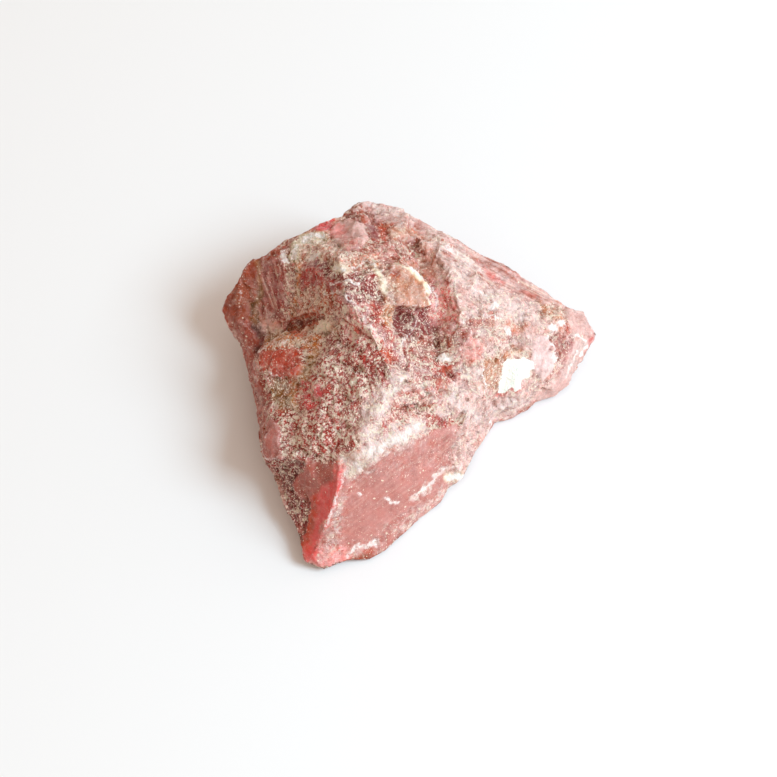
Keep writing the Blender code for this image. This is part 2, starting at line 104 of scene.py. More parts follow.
# The ground on the side that the photograph shows. Each patch has its name, its mineral, the share
# of it that pale grains cover, how smoothly it broke, and its outline in pixels of the photograph
PATCHES = [
    ("right lobe", PALE_PINK, 0.34, 0.1, [(432, 256), (470, 262), (572, 304), (598, 330), (574, 388),
        (534, 404), (492, 424), (450, 400), (440, 340)]),
    ("top ground", ROSE, 0.32, 0.1, [(340, 226), (380, 226), (412, 244), (416, 276), (380, 284),
        (345, 270)]),
    ("behind the nose", SALMON, 0.36, 0.0, [(338, 440), (366, 420), (432, 424), (442, 440), (376, 470),
        (340, 482)]),
    ("left face", WINE, 0.58, 0.0, [(260, 345), (300, 336), (345, 298), (362, 318), (380, 345), (392, 372),
        (385, 400), (362, 415), (360, 440), (350, 458), (335, 464), (300, 462), (281, 460), (283, 430),
        (268, 415), (264, 385)]),
    ("crest slope", WINE, 0.34, 0.0, [(345, 298), (372, 300), (398, 330), (425, 345), (424, 378),
        (396, 382), (384, 348), (364, 320)]),
    ("middle", WINE, 0.4, 0.0, [(390, 345), (440, 350), (482, 372), (500, 392), (492, 420), (455, 432),
        (425, 430), (392, 442), (366, 452), (360, 430), (385, 400)]),
    ("middle right", PALE_PINK, 0.3, 0.1, [(440, 384), (476, 376), (500, 394), (492, 420), (462, 426),
        (440, 412)]),
    ("hollow", PINK, 0.45, 0.0, [(392, 388), (412, 378), (432, 388), (437, 412), (418, 424), (392, 430),
        (384, 408)]),
    ("nose", PINK, 0.06, 1.0, [(338, 478), (362, 474), (376, 458), (404, 446), (436, 430), (458, 424),
        (455, 448), (448, 466), (452, 478), (448, 500), (426, 516), (402, 532), (386, 548), (345, 560),
        (318, 566), (318, 540), (330, 508)]),
    ("nose top", PINK, 0.12, 0.8, [(364, 462), (400, 452), (428, 446), (440, 452), (425, 470), (400, 480),
        (376, 472)]),
    ("nose right", PINK, 0.14, 0.7, [(428, 440), (450, 430), (452, 450), (440, 468), (424, 466)]),
    ("nose foot", PINK, 0.16, 0.6, [(384, 524), (420, 504), (450, 484), (450, 500), (426, 518), (400, 536),
        (384, 548), (372, 548)]),
    ("nose margin", PINK, 0.16, 0.7, [(338, 478), (352, 476), (348, 500), (342, 520), (344, 545),
        (338, 562), (318, 566), (320, 540), (331, 508)]),
    ("nose tip", BLUSH, 0.15, 0.6, [(303, 560), (318, 545), (345, 544), (352, 556), (330, 568),
        (308, 568)]),
    ("cheek", PALE_PINK, 0.25, 0.1, [(455, 430), (470, 418), (492, 418), (486, 440), (478, 458), (466, 476),
        (452, 480), (446, 468), (452, 450)]),
    ("brown facet", MAUVE_BROWN, 0.1, 0.8, [(296, 474), (304, 461), (330, 461), (339, 470), (334, 482),
        (322, 494), (312, 504), (302, 500), (294, 486)]),
    ("red band", RED, 0.0, 0.9, [(341, 460), (344, 468), (338, 492), (331, 510), (324, 530), (318, 548),
        (312, 562), (301, 560), (299, 545), (304, 526), (309, 506), (318, 494), (332, 482), (336, 470)]),
    ("red band shade", ORANGE_RED, 0.05, 0.7, [(312, 500), (320, 496), (318, 515), (312, 535), (306, 552),
        (299, 548), (304, 526)]),
    ("lower left", DEEP_WINE, 0.42, 0.1, [(260, 460), (296, 460), (303, 468), (296, 476), (294, 488),
        (302, 500), (309, 508), (305, 525), (299, 538), (291, 515), (284, 500), (278, 482), (268, 470)]),
    ("left facet", MAUVE, 0.08, 0.7, [(263, 440), (266, 426), (272, 418), (280, 426), (281, 446),
        (283, 460), (268, 460), (262, 452)]),
    ("left wall", MAUVE_BROWN, 0.15, 0.4, [(238, 332), (252, 345), (259, 372), (264, 400), (263, 440),
        (256, 440), (254, 425), (250, 400), (244, 375), (236, 345)]),
    ("left wall pink", MAUVE, 0.2, 0.3, [(247, 365), (255, 372), (262, 400), (262, 430), (256, 430),
        (250, 400)]),
    ("left flank", BRICK, 0.04, 0.5, [(216, 312), (224, 298), (234, 284), (243, 267), (250, 257),
        (259, 257), (258, 282), (254, 302), (254, 325), (257, 345), (250, 352), (242, 336), (230, 325)]),
    ("flank ochre", OCHRE, 0.08, 0.3, [(237, 294), (245, 279), (252, 287), (249, 304), (240, 318),
        (235, 306)]),
    ("flank foot", MAUVE_BROWN, 0.1, 0.4, [(238, 322), (250, 318), (253, 345), (248, 350), (240, 336)]),
    ("back left edge", BRICK, 0.03, 0.2, [(250, 259), (264, 252), (284, 241), (290, 248), (276, 257),
        (260, 262)]),
    ("mauve face", MAUVE, 0.14, 0.5, [(259, 262), (280, 256), (298, 256), (299, 285), (298, 316),
        (290, 326), (280, 322), (271, 318), (261, 312), (259, 296), (255, 276)]),
    ("mauve grains", PINK, 0.56, 0.0, [(283, 246), (298, 246), (298, 316), (290, 326), (282, 318),
        (284, 290), (281, 262)]),
    ("pink foot", SALMON, 0.15, 0.3, [(262, 312), (272, 317), (282, 326), (280, 334), (268, 333),
        (262, 330)]),
    ("olive groove", MOSS, 0.1, 0.2, [(252, 302), (257, 286), (263, 290), (259, 310), (257, 326),
        (252, 320)]),
    ("dark groove", DARK, 0.05, 0.4, [(252, 322), (258, 324), (262, 335), (263, 346), (259, 360),
        (254, 348)]),
    ("crust ground", SALMON, 0.52, 0.0, [(286, 242), (304, 233), (326, 230), (345, 250), (384, 252),
        (382, 268), (345, 266), (318, 262), (300, 270), (296, 258)]),
    ("red above recess", WINE, 0.16, 0.1, [(300, 276), (306, 263), (320, 266), (322, 278), (341, 277),
        (340, 294), (322, 290), (302, 294)]),
    ("brown grains", BROWN, 0.5, 0.0, [(300, 290), (320, 284), (338, 294), (336, 314), (318, 317),
        (300, 318)]),
    ("ridge grains", DEEP_WINE, 0.4, 0.0, [(322, 264), (345, 270), (378, 276), (382, 298), (362, 302),
        (345, 298), (341, 280), (322, 277)]),
    ("recess", RECESS, 0.3, 0.0, [(280, 333), (288, 324), (302, 316), (316, 312), (328, 317), (320, 328),
        (306, 332), (298, 338), (288, 341)]),
    ("recess crust", OLIVE, 0.35, 0.0, [(265, 333), (276, 329), (289, 333), (291, 341), (277, 343),
        (264, 341)]),
    ("facet by the recess", CREAM, 0.6, 0.2, [(308, 332), (320, 322), (330, 314), (337, 320), (334, 330),
        (318, 336)]),
    ("orange block", ORANGE_RED, 0.3, 0.1, [(260, 352), (272, 345), (290, 344), (303, 350), (303, 366),
        (296, 377), (280, 379), (267, 373), (260, 362)]),
    ("block heart", EMBER, 0.16, 0.4, [(264, 351), (284, 345), (301, 351), (303, 367), (294, 378),
        (277, 376), (265, 365)]),
    ("block top", ORANGE, 0.5, 0.1, [(261, 347), (280, 338), (300, 335), (326, 338), (322, 350), (304, 348),
        (284, 343), (266, 351)]),
    ("olive streak", OLIVE, 0.4, 0.0, [(312, 346), (319, 352), (309, 372), (301, 395), (297, 410),
        (288, 405), (293, 385), (301, 368)]),
    ("olive left", MOSS, 0.4, 0.0, [(272, 380), (290, 380), (292, 402), (280, 412), (270, 400)]),
    ("wine under block", CRIMSON, 0.35, 0.0, [(300, 380), (320, 384), (326, 402), (312, 410), (298, 402)]),
    ("red crest", WINE, 0.5, 0.0, [(358, 348), (372, 342), (386, 350), (393, 362), (386, 378),
        (368, 382), (356, 368)]),
    ("red by the crest", BLUSH, 0.58, 0.0, [(343, 318), (352, 307), (360, 318), (362, 336), (354, 343),
        (345, 336)]),
    ("pink by the crest", BLUSH, 0.4, 0.0, [(366, 328), (380, 334), (378, 343), (366, 341)]),
    ("orange by the crest", ORANGE_RED, 0.22, 0.0, [(378, 346), (386, 345), (394, 360), (386, 366)]),
    ("red back edge", CRIMSON, 0.12, 0.3, [(304, 233), (318, 223), (336, 218), (334, 229), (318, 232)]),
    ("pink lump", PALE_PINK, 0.1, 0.7, [(332, 228), (346, 219), (362, 222), (368, 238), (360, 249),
        (345, 250), (335, 242)]),
    ("red on the lump", BLUSH, 0.04, 0.6, [(332, 226), (341, 225), (346, 233), (340, 239), (334, 235)]),
    ("lump foot", PINK, 0.2, 0.3, [(338, 240), (352, 242), (360, 240), (358, 249), (344, 250)]),
    ("back top", PALE_PINK, 0.15, 0.35, [(350, 212), (362, 200), (382, 200), (402, 207), (424, 220),
        (404, 226), (384, 222), (366, 220)]),
    ("red under the top", BRICK, 0.15, 0.1, [(346, 217), (352, 207), (360, 205), (366, 213), (374, 220),
        (360, 221)]),
    ("dark behind the lump", DEEP_WINE, 0.08, 0.3, [(366, 224), (378, 224), (380, 238), (370, 243)]),
    ("red speck behind", ORANGE_RED, 0.15, 0.0, [(380, 223), (390, 224), (388, 240), (382, 249)]),
    ("pale step", TAN, 0.25, 0.3, [(388, 228), (406, 222), (410, 234), (394, 240)]),
    ("pink step", PINK, 0.25, 0.3, [(376, 248), (388, 244), (397, 256), (384, 262)]),
    ("dip", SALMON, 0.22, 0.2, [(402, 238), (416, 226), (436, 236), (442, 254), (440, 272), (430, 281),
        (414, 270), (404, 256)]),
    ("dip heart", MAUVE_BROWN, 0.3, 0.0, [(404, 242), (418, 238), (424, 250), (416, 256), (406, 254)]),
    ("flake", TAN, 0.14, 0.4, [(386, 272), (392, 263), (409, 268), (421, 281), (430, 294), (429, 308),
        (410, 306), (398, 304), (390, 296), (384, 284)]),
    ("flake left", TAN, 0.3, 0.3, [(378, 280), (386, 276), (394, 283), (397, 294), (393, 303), (384, 300),
        (379, 290)]),
    ("flake spot", BRICK, 0.1, 0.1, [(387, 272), (396, 269), (399, 279), (390, 283)]),
    ("yellow below the flake", ORANGE, 0.4, 0.0, [(382, 302), (396, 303), (398, 322), (390, 330),
        (380, 318)]),
    ("shadow under the flake", DEEP_WINE, 0.28, 0.35, [(394, 306), (430, 308), (438, 318), (434, 336),
        (420, 341), (402, 336), (395, 322)]),
    ("valley", BLUSH, 0.4, 0.1, [(422, 282), (432, 276), (446, 280), (456, 292), (460, 308), (454, 330),
        (444, 334), (434, 322), (430, 300)]),
    ("valley foot", ROSE, 0.42, 0.0, [(402, 338), (434, 336), (452, 334), (458, 346), (440, 360),
        (412, 358)]),
    ("shoulder", PALE_PINK, 0.3, 0.15, [(450, 286), (470, 272), (500, 287), (548, 304), (542, 326),
        (512, 326), (488, 312), (460, 310)]),
    ("shoulder rose", PALE_PINK, 0.25, 0.2, [(455, 300), (475, 296), (484, 306), (470, 318), (456, 314)]),
    ("banded edge", PALE_PINK, 0.08, 0.55, [(418, 218), (440, 228), (520, 268), (572, 304), (548, 304),
        (500, 287), (460, 264), (438, 254)]),
    ("wine streak", MAUVE_BROWN, 0.34, 0.0, [(454, 334), (468, 318), (498, 310), (502, 320), (480, 330),
        (462, 342)]),
    ("mauve streak", PINK, 0.45, 0.0, [(486, 334), (516, 330), (520, 342), (496, 346)]),
    ("right middle", SALMON, 0.32, 0.1, [(486, 318), (530, 322), (532, 334), (490, 334)]),
    ("blade", ROSY, 0.22, 0.3, [(470, 330), (478, 338), (480, 350), (476, 364), (466, 372), (457, 368),
        (458, 356), (463, 343)]),
    ("blade foot", PALE_PINK, 0.35, 0.0, [(460, 362), (480, 358), (484, 380), (470, 384), (456, 374)]),
    ("red spot", ORANGE_RED, 0.05, 0.5, [(441, 365), (454, 366), (452, 373), (444, 372)]),
    ("red ground", MAUVE_BROWN, 0.2, 0.1, [(432, 376), (446, 372), (453, 385), (446, 394), (436, 388)]),
    ("brown by the patch", TAN, 0.34, 0.0, [(482, 358), (502, 354), (504, 372), (498, 392), (486, 388),
        (482, 372)]),
    ("orange over the patch", TAN, 0.3, 0.0, [(498, 350), (522, 347), (531, 355), (505, 360)]),
    ("pink over the patch", LILAC, 0.15, 0.3, [(520, 336), (533, 327), (535, 345), (525, 352)]),
    ("pale lens", PEARL, 0.08, 0.6, [(531, 348), (537, 336), (548, 337), (554, 350), (552, 370), (542, 382),
        (532, 368)]),
    ("wine by the lens", MAUVE, 0.2, 0.1, [(550, 336), (562, 336), (571, 345), (567, 356), (559, 362),
        (553, 350)]),
    ("by the tip", TAN, 0.32, 0.0, [(538, 300), (566, 306), (564, 318), (540, 312)]),
    ("orange speck", SALMON, 0.1, 0.1, [(560, 325), (569, 322), (568, 332), (561, 334)]),
    ("tip", PALE_PINK, 0.14, 0.6, [(565, 306), (590, 310), (600, 330), (592, 346), (576, 340), (568, 325)]),
    ("tip flank", LILAC, 0.14, 0.5, [(572, 341), (592, 340), (584, 362), (574, 384), (562, 387),
        (564, 364)]),
    ("lower lip", PALE_PINK, 0.08, 0.7, [(532, 394), (550, 388), (572, 368), (570, 386), (554, 402),
        (534, 402)]),
    ("front foot", PEARL, 0.25, 0.3, [(490, 406), (515, 398), (534, 396), (532, 408), (510, 420),
        (492, 422)]),
]

# Lines on the ground, two of them painted shade: name, mineral or shade colour, how well it covers, width in
# pixels, and the points it runs through
STREAKS = [
    ("orange vein", ORANGE, 0.8, 4, [(299, 262), (297, 290), (293, 318)]),
    ("olive edge", OLIVE, 0.6, 4, [(258, 262), (259, 276), (262, 290)]),
    ("face line left", DEEP_WINE, 0.5, 2, [(268, 264), (267, 282), (270, 300)]),
    ("face line middle", DEEP_WINE, 0.75, 3, [(276, 272), (275, 290), (278, 316)]),
    ("face line right", WINE, 0.6, 3, [(283, 262), (281, 285), (281, 318)]),
    # Painted shade under the ledge, drawn as a dark line
    ("painted shade under the ledge", DARK, 0.85, 2.5, [(260, 461), (280, 461), (303, 467)]),
    ("dark corner", DARK, 0.8, 6, [(283, 470), (290, 480), (292, 490)]),
    ("flake rim cream", CREAM, 0.85, 3.0, [(398, 262), (410, 272), (420, 284), (428, 297), (427, 306)]),
    ("cream by the flake", CREAM, 0.8, 5, [(376, 268), (381, 282), (384, 292)]),
    ("flake spot", BRICK, 0.85, 6, [(387, 271), (393, 276)]),
    ("cream crust", GREEN_CREAM, 0.85, 8, [(296, 246), (294, 258)]),
    ("cream crust right", GREEN_CREAM, 0.8, 9, [(304, 238), (322, 237)]),
    ("cream spot", CREAM, 0.95, 7, [(444, 357), (448, 358)]),
    ("cream at the foot", CREAM, 0.9, 7, [(450, 478), (462, 478)]),
    ("cream at the top", CREAM, 0.9, 7, [(334, 266), (343, 269)]),
    ("band line one", BRICK, 0.55, 2.5, [(436, 236), (470, 256), (505, 272), (540, 294)]),
    ("band line two", MAUVE_BROWN, 0.6, 2, [(444, 252), (470, 268), (500, 287)]),
    ("band red", RED, 0.45, 3.5, [(478, 262), (490, 274), (503, 284)]),
    ("band red right", BRICK, 0.5, 4, [(500, 272), (512, 277)]),
    ("tip line", WINE, 0.6, 3, [(566, 326), (572, 342), (566, 360), (560, 374)]),
    ("tip line short", CRIMSON, 0.5, 2.5, [(592, 336), (586, 352)]),
    ("band orange", ORANGE_RED, 0.6, 4, [(522, 290), (540, 296)]),
    ("band dark", MAUVE_BROWN, 0.7, 2, [(482, 254), (508, 268), (524, 280)]),
    ("crack in the dip", DARK, 0.6, 1.6, [(480, 276), (490, 286), (497, 292)]),
    ("dark slit one", DARK, 0.5, 3, [(403, 318), (408, 330), (404, 340)]),
    ("dark slit two", DARK, 0.5, 3.5, [(426, 320), (419, 332), (414, 342)]),
    ("dark slit three", DARK, 0.7, 3, [(437, 342), (442, 352), (438, 360)]),
    ("valley red", CRIMSON, 0.4, 4, [(447, 282), (448, 304), (452, 318)]),
    # Painted shade at the bottom of the recess, drawn as a dark line
    ("painted shade in the recess", DARK, 0.7, 4, [(290, 328), (306, 322), (320, 316)]),
    ("lens right", MAUVE, 0.5, 2.5, [(557, 360), (556, 372), (548, 384)]),
    ("red over the foot", CRIMSON, 0.5, 3, [(498, 396), (512, 392), (524, 386)]),
    ("foot crack", DEEP_WINE, 0.6, 3, [(504, 413), (518, 406), (530, 402)]),
    ("toe orange", ORANGE_RED, 0.5, 4, [(362, 550), (374, 553)]),
    ("back top line", BRICK, 0.4, 2, [(366, 208), (384, 216), (402, 220)]),
]

# Where the stone is bruised white or crusted: name, how thickly, width in pixels and its line's points
BRUISES = [
    ("nose ledge", 0.6, 7, [(366, 452), (384, 446), (402, 438), (416, 428)]),
    ("hollow rim left", 0.5, 7, [(402, 382), (393, 394)]),
    ("crest line", 0.55, 2.5, [(345, 292), (358, 308), (370, 326), (386, 345)]),
    ("white step", 0.6, 3.5, [(447, 469), (432, 484), (418, 496)]),
    ("nose specks", 0.8, 4, [(386, 499), (391, 503), (397, 502)]),
    ("nose dot", 0.95, 3, [(357, 494), (359, 494)]),
    ("toe rim", 0.7, 4, [(346, 556), (356, 546), (378, 541)]),
    ("toe flake", 0.7, 7, [(360, 545), (374, 546)]),
    ("flake rim", 0.7, 2.5, [(408, 268), (419, 280), (428, 295), (428, 305)]),
    ("top bar", 0.6, 4, [(352, 267), (366, 262), (376, 267)]),
    ("top spot", 0.8, 5, [(334, 266), (343, 269)]),
    ("edge spots", 1.0, 5, [(310, 259), (317, 256)]),
    ("edge crust", 0.85, 5, [(296, 246), (294, 258)]),
    ("edge crust right", 0.85, 5, [(304, 239), (312, 235), (324, 237)]),
    ("edge crust left", 0.9, 5, [(282, 252), (286, 262)]),
    ("ridge strokes", 0.8, 2, [(330, 284), (346, 280), (360, 284)]),
    ("ridge strokes low", 0.8, 2, [(326, 294), (340, 292), (352, 300)]),
    ("slope stroke", 0.7, 2, [(402, 344), (414, 330), (420, 318)]),
    ("shoulder stroke", 0.62, 3, [(470, 286), (488, 296), (500, 306)]),
    ("shoulder stroke low", 0.62, 3, [(462, 322), (480, 314), (500, 318)]),
    ("by the valley", 0.7, 2, [(432, 284), (438, 296), (436, 310)]),
    ("cream spot", 0.95, 8, [(444, 357), (448, 358)]),
    ("cream bump", 0.95, 7, [(450, 478), (462, 478)]),
    ("tip spots", 0.9, 7, [(550, 326), (556, 328)]),
    ("tip spot", 0.9, 5, [(562, 322), (563, 325)]),
    ("middle spot", 0.85, 5, [(494, 304), (492, 308)]),
    ("right spot", 0.85, 5, [(507, 328), (509, 333)]),
    ("tip edge", 0.8, 3, [(576, 336), (586, 342), (580, 356)]),
    ("tip flank edge", 0.7, 2.5, [(578, 350), (570, 366), (566, 378)]),
    ("lens edge", 0.85, 2.5, [(548, 337), (556, 350), (554, 366)]),
    ("cheek line", 0.85, 2.5, [(492, 420), (485, 438), (480, 450)]),
    ("line by the patch", 0.8, 2, [(482, 360), (484, 375), (488, 392)]),
    ("band spot", 0.8, 8, [(450, 249), (455, 252)]),
    ("block edge", 0.5, 3, [(262, 352), (272, 344), (288, 342)]),
    ("block foot", 0.55, 4, [(268, 372), (280, 377)]),
    ("left facet edge", 0.5, 2, [(265, 440), (264, 452), (270, 461), (283, 461)]),
    ("left wall line", 0.4, 2, [(246, 345), (254, 366), (258, 380)]),
    ("nose left rim", 0.6, 3, [(346, 470), (340, 486), (334, 505), (326, 526)]),
]

# Where the stone is hazy with white under its grains, in the same way
HAZES = [
    ("behind the nose", 0.85, 24, [(354, 466), (364, 459), (376, 448), (396, 438), (416, 428)]),
    ("left of the hollow", 0.75, 30, [(402, 378), (390, 392), (376, 412), (370, 432), (374, 446)]),
    ("hollow rim", 0.6, 12, [(424, 384), (434, 398), (440, 412)]),
    ("above the cheek", 0.6, 22, [(448, 396), (462, 404), (474, 414)]),
    ("crest foot", 0.5, 16, [(396, 352), (410, 364), (428, 372)]),
    ("crest", 0.5, 10, [(345, 294), (358, 308), (372, 328), (386, 345)]),
    ("above the crest", 0.4, 14, [(386, 316), (396, 330), (410, 346)]),
    ("front foot", 0.5, 14, [(494, 412), (530, 402)]),
    ("shoulder", 0.5, 26, [(452, 268), (480, 290), (510, 308), (536, 318)]),
    ("band", 0.55, 18, [(430, 236), (456, 252), (476, 268)]),
    ("right middle", 0.45, 24, [(488, 328), (520, 344)]),
    ("valley", 0.4, 14, [(440, 276), (450, 300), (448, 326)]),
    ("blade foot", 0.5, 16, [(462, 372), (480, 372)]),
    ("top", 0.45, 16, [(366, 206), (384, 210), (402, 216)]),
    ("flake foot", 0.5, 10, [(384, 284), (390, 298)]),
    ("crust", 0.4, 14, [(298, 244), (322, 240), (344, 256)]),
    ("nose margin", 0.5, 14, [(340, 505), (334, 525), (332, 545)]),
    ("white step", 0.7, 7, [(450, 467), (436, 480), (416, 500)]),
    ("nose foot", 0.5, 12, [(450, 488), (424, 512), (396, 532)]),
    ("toe", 0.5, 12, [(350, 552), (374, 544)]),
]

# The one white patch, as its outline in the photograph
WHITE_PATCH = [
    (507, 359), (516, 359), (525, 357), (533, 363), (534, 369), (528, 371), (531, 377), (522, 379),
    (521, 388), (516, 392), (512, 387), (507, 391), (498, 395), (499, 382), (503, 374), (503, 365),
]

# How far some of the patches stand above or lie below the rest, in millimetres
RISES = {
    "orange block": 0.4, "block top": 0.35, "recess": -0.6, "recess crust": -0.3, "facet by the recess": 0.4,
    "flake": 0.8, "flake left": 0.4, "left facet": 0.35, "brown facet": 0.25, "blade": 0.45, "pale lens": 0.3,
    "shadow under the flake": -0.5, "valley": -0.35, "dip": -0.3, "dip heart": -0.5, "pink lump": 0.4,
    "hollow": -0.5, "cheek": 0.2, "back top": 0.2, "pale step": 0.35, "pink step": 0.35, "red crest": -0.3,
    "orange by the crest": 0.2, "red band": 0.15, "lower left": -0.3, "flank ochre": 0.25,
    "pink over the patch": 0.25, "by the tip": -0.25, "wine by the lens": -0.35, "lower lip": 0.25,
    "front foot": -0.2, "nose margin": 0.12, "olive groove": -0.35, "dark groove": -0.5,
}
RISE_EDGE = 1.6

# Where the solid's breaks are eased, as outlines in pixels, and how much
EASED = [
    [(432, 262), (446, 250), (468, 266), (474, 324), (448, 342), (434, 320)],
    [(492, 352), (540, 350), (542, 398), (492, 402)],
    [(500, 300), (540, 298), (546, 332), (512, 344), (496, 330)],
    [(380, 364), (404, 374), (402, 402), (388, 430), (374, 462), (352, 478), (342, 464), (354, 430),
        (366, 395)],
]
EASE_ROUNDS = 40

# The layered faces, as outlines in pixels: the striated face, the banded edge and the smooth nose. Each
# has the direction across its layers and the one along them
LAYERED = [
    ([(258, 262), (300, 256), (298, 318), (262, 312)], (0.95, 0.3, 0.1), (-0.2, 0.75, 0.6)),
    ([(432, 226), (520, 268), (574, 304), (540, 308), (498, 290), (436, 260)], (0.45, 0.75, 0.5),
        (0.85, -0.5, -0.15)),
    ([(338, 478), (376, 458), (455, 424), (452, 478), (426, 516), (386, 548), (318, 566)],
        (-0.6, 0.75, 0.3), (0.75, 0.6, 0.25)),
]

# The minerals that the photograph doesn't place, with the grains on them, and how wide their patches are
HIDDEN_GROUNDS = [(ROSE, 0.5), (WINE, 0.5), (ROSE, 0.3), (MAUVE_BROWN, 0.35), (PINK, 0.15), (BRICK, 0.2),
    (PALE_PINK, 0.4), (MAUVE, 0.3), (SALMON, 0.3), (DEEP_WINE, 0.3)]
HIDDEN_PATCH_SIZE = 6.0

# The patches with a crisp border; the others fade. How crisp, in pixels, and how far their edges wander,
# for each size in millimetres
CRISP = ("nose", "left facet", "flake", "flake left", "pink lump", "pale lens", "tip flank", "red spot")
CRISP_EDGE = 1.2
SOFT_PATCH_EDGE = 4.0
WANDER = [(3.0, 5.0), (1.2, 4.0), (0.7, 2.5)]
CRISP_WANDER = 0.3
LINE_WANDER = 0.5

# The finest relief on the mesh, in millimetres
REFINE_ROUNDS = 5
SEEN_EDGE = 0.4
HIDDEN_EDGE = 0.75
SOFT_EDGE = math.radians(38)
SOFTEN_ROUNDS = 2
BASE_EDGE = 0.05
CHIP_SIZES = [(2.4, 0.8), (1.2, 0.3)]
TERRACE_SIZE = 3.4
TERRACES = 3.0
TERRACE_HEIGHT = 0.35
GRAIN_SIZE = 0.7
GRAIN_HEIGHT = 0.08
EDGE_SHARE = 0.35
VALLEY_ROUNDS = 10
VALLEY_DEPTH = 0.16
LAYER_STEP = 0.75
LAYER_HEIGHT = 0.16
CALM_HEIGHT = 1.5

# The scales that the stone broke into, how many a millimetre and how wide their pale rims are, in millimetres
SCALES_PER_MM = 0.55
SCALE_RIM = 0.22

# The pale grains in two sizes: how many a millimetre, how well they cover, and their share of the stone's
GRAINS = [(3.6, 0.85, 1.0), (2.3, 0.95, 0.95)]

# How strongly each layered face is striped, and how deep the finest unevenness is, in millimetres
STRIPES = (0.8, 1.1, 0.22)
BUMP_DEPTH = 0.15

# Metres
FLOOR_SIDE = 3.0


def in_photo(points):
    """Where points in millimetres lie in the photograph, in pixels."""
    away = points - np.array(CAMERA_PLACE)
    depth = -away @ np.array(VIEW_BACK)
    up = np.array((0, math.sin(CAMERA_TILT), math.cos(CAMERA_TILT)))
    focal = PHOTO_SIDE * CAMERA_LENS / CAMERA_SENSOR
    across = PHOTO_SIDE / 2 + focal * away[:, 0] / depth
    down = PHOTO_SIDE / 2 - focal * (away @ up) / depth
    return np.stack([across, down], 1)


def step(low, high, value):
    """0 below low, 1 above high and smooth between them."""
    t = np.clip((value - low) / (high - low), 0, 1)
    return t * t * (3 - 2 * t)


def line_distance(spots, line):
    """Pixels from spots to a line through points."""
    nearest = np.full(len(spots), 1e9)
    for a, b in zip(line, line[1:]):
        edge = b - a
        t = np.clip(((spots - a) @ edge) / (edge @ edge), 0, 1)
        nearest = np.minimum(nearest, np.hypot(*(spots - a - t[:, None] * edge).T))
    return nearest


def inside_distance(spots, outline):
    """Pixels from the outline: above 0 inside, below 0 outside."""
    ring = np.array(outline + outline[:1], float)
    inside = np.zeros(len(spots), bool)
    for a, b in zip(ring, ring[1:]):
        if a[1] == b[1]:
            continue
        crosses = (a[1] > spots[:, 1]) != (b[1] > spots[:, 1])
        inside ^= crosses & (spots[:, 0] < a[0] + (b[0] - a[0]) * (spots[:, 1] - a[1]) / (b[1] - a[1]))
    nearest = line_distance(spots, ring)
    return np.where(inside, nearest, -nearest)


def noise_at(points, size, shift=0.0):
    """Smooth noise from -1 to 1 with features of that size, at every point."""
    away = Vector((shift, shift * 1.7, -shift))
    return np.array([noise.noise(Vector(point) / size + away) for point in points])


def cells_at(points, size):
    """For each point, which cell it is in, as that cell's own place, and where in it the point lies."""
    places = [Vector(point) / size for point in points]
    seeds = [noise.voronoi(place)[1][0] for place in places]
    return seeds, [place - seed for place, seed in zip(places, seeds)]


def chips_at(points, size):
    """Flat chips, each tilted its own way."""
    half = Vector((0.5, 0.5, 0.5))
    seeds, offsets = cells_at(points, size)
    tilts = [noise.cell_vector(seed * 5.1) - half for seed in seeds]
    return np.array([offset.dot(tilt) for offset, tilt in zip(offsets, tilts)])


def terraces(run):
    """Flat steps with steep risers, as heights about the slope they break."""
    part = run % 1
    return np.floor(run) + step(0.75, 1.0, part) - run


def fine_mesh(source):
    """The stone's solid with small faces, its soft edges eased and its sharp ones kept."""
    bm = bmesh.new()
    bm.from_mesh(source.data)
    bmesh.ops.remove_doubles(bm, verts=bm.verts, dist=MM * 0.001)
    bmesh.ops.scale(bm, verts=bm.verts, vec=(1 / MM,) * 3)
    for _ in range(REFINE_ROUNDS):
        bm.normal_update()
        long = []
        for edge in bm.edges:
            faces_us = any(face.normal.dot(VIEW_BACK) > 0 for face in edge.link_faces)
            if edge.calc_length() > (SEEN_EDGE if faces_us else HIDDEN_EDGE):
                long.append(edge)
        if not long:
            break
        bmesh.ops.subdivide_edges(bm, edges=long, cuts=1)
        bmesh.ops.triangulate(bm, faces=bm.faces)
        bm.normal_update()
        soft = []
        for vert in bm.verts:
            sharpest = max(edge.calc_face_angle(0) for edge in vert.link_edges)
            if vert.co.z > BASE_EDGE and sharpest < SOFT_EDGE:
                soft.append(vert)
        for _ in range(SOFTEN_ROUNDS):
            bmesh.ops.smooth_vert(
                bm, verts=soft, factor=0.5, use_axis_x=True, use_axis_y=True, use_axis_z=True
            )
    bm.normal_update()
    return bm


def neighbour_mean(points, edges):
    """For each point, the mean of the points that share an edge with it."""
    count = np.bincount(edges.ravel(), minlength=len(points))
    sums = [
        np.bincount(edges[:, 0], points[edges[:, 1], axis], len(points))
        + np.bincount(edges[:, 1], points[edges[:, 0], axis], len(points))
        for axis in range(3)
    ]
    return np.stack(sums, 1) / count[:, None]


def ease(bm):
    """Softens the breaks inside the eased outlines."""
    bm.verts.index_update()
    points = np.array([v.co for v in bm.verts])
    normals = np.array([v.normal for v in bm.verts])
    edges = np.array([[v.index for v in edge.verts] for edge in bm.edges])
    spots = in_photo(points)
    share = np.max([step(-4, 4, inside_distance(spots, outline)) for outline in EASED], 0)
    share *= step(0.0, 0.2, normals @ np.array(VIEW_BACK))
    for _ in range(EASE_ROUNDS):
        points += (neighbour_mean(points, edges) - points) * (share / 2)[:, None]
    for vert, point in zip(bm.verts, points):
        vert.co = Vector(point)
    bm.normal_update()


def hollows(points, normals, edges):
    """How hollow the surface is at each point, close by and further around: below 0 on an edge."""
    near = neighbour_mean(points, edges)
    close = ((near - points) * normals).sum(1) / SEEN_EDGE
    around = points
    for _ in range(VALLEY_ROUNDS):
        around = (around + neighbour_mean(around, edges)) / 2
    return close, np.clip(((around - points) * normals).sum(1) / VALLEY_DEPTH, -1.5, 1.5)


